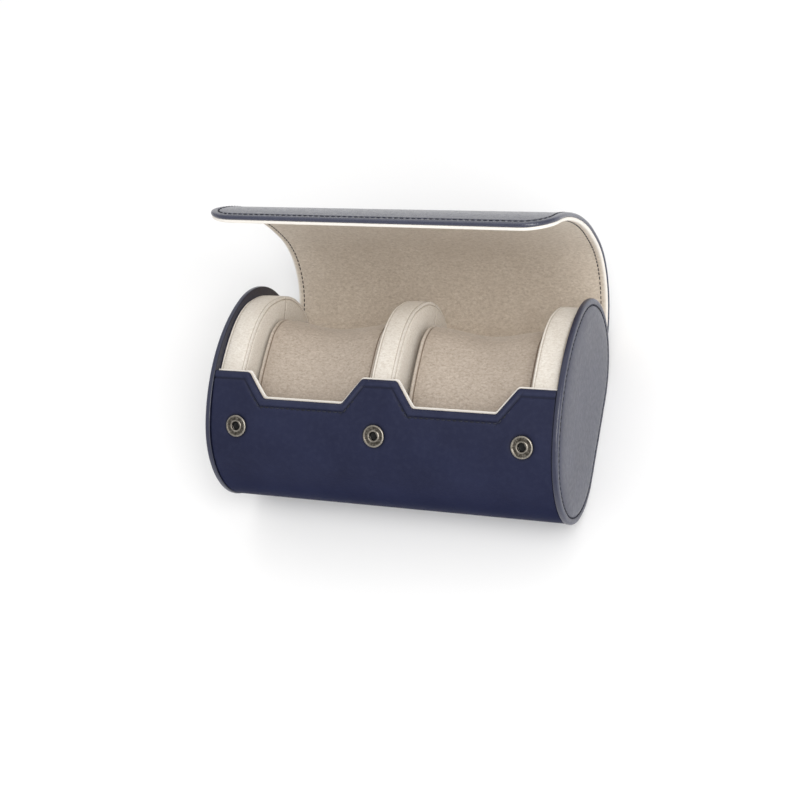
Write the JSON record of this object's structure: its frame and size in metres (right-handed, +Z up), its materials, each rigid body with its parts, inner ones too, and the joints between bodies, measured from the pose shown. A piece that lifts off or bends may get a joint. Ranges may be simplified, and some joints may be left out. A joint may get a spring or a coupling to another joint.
{
  "type": "watch box",
  "caption": "Oval leather watch roll on a flat base, with a curled snap-down lid that swings up behind, suede partitions and removable watch pillows.",
  "frame": {"origin": "middle of the flat base, on the surface the box lies on", "axes": "+X along the roll, +Y from the front panel to the lid's hinge, +Z up"},
  "size_m": [0.175, 0.1369, 0.1264],
  "materials": {
    "navy_leather": "smooth satin with fine grain",
    "board": "raw",
    "foam": "soft",
    "taupe_suede": "short nap",
    "cream_suede": "short nap",
    "pillow_suede": "short nap",
    "antique_nickel": "antiqued"
  },
  "bodies": {
    "case": {"base_leather": "navy_leather", "left_end_leather": "navy_leather", "right_end_leather": "navy_leather", "base_board": "board", "left_end_board": "board", "right_end_board": "board", "left_partition_core": "board", "centre_partition_core": "board", "right_partition_core": "board", "left_end_pad": "foam", "right_end_pad": "foam", "base_lining": "taupe_suede", "left_partition_rim": "cream_suede", "left_partition_faces": "cream_suede", "centre_partition_rim": "cream_suede", "centre_partition_faces": "cream_suede", "right_partition_rim": "cream_suede", "right_partition_faces": "cream_suede", "front_snap_sockets": "antique_nickel", "front_snap_springs": "antique_nickel", "front_snap_posts": "antique_nickel"},
    "lid_top": {"lid_top_leather": "navy_leather", "lid_top_board": "board", "lid_top_lining": "taupe_suede"},
    "lid_front": {"lid_front_leather": "navy_leather", "lid_front_board": "board", "lid_front_lining": "taupe_suede", "lid_snap_studs": "antique_nickel", "lid_snap_plates": "antique_nickel"},
    "left_pillow": {"left_pillow_core": "foam", "left_pillow_sleeve": "pillow_suede", "left_pillow_ends": "pillow_suede"},
    "right_pillow": {"right_pillow_core": "foam", "right_pillow_sleeve": "pillow_suede", "right_pillow_ends": "pillow_suede"}
  },
  "joints": [
    {"name": "lid_hinge", "type": "hinge", "parent": "case", "child": "lid_top", "pos_m": [0, 0.03931, 0.0067], "axis": [-1, 0, 0], "range_deg": [-48, 16.5]},
    {"name": "lid_flap", "type": "hinge", "parent": "lid_top", "child": "lid_front", "pos_m": [0, 0.06903, 0.07938], "axis": [-1, 0, 0], "range_deg": [-29, 20], "stiffness_Nm_per_rad": 0.25},
    {"name": "left_pillow_lift", "type": "slide", "parent": "case", "child": "left_pillow", "axis": [0, 0.42, 0.9075], "range_m": [0, 0.01]},
    {"name": "right_pillow_lift", "type": "slide", "parent": "case", "child": "right_pillow", "axis": [0, 0.42, 0.9075], "range_m": [0, 0.01]}
  ]
}
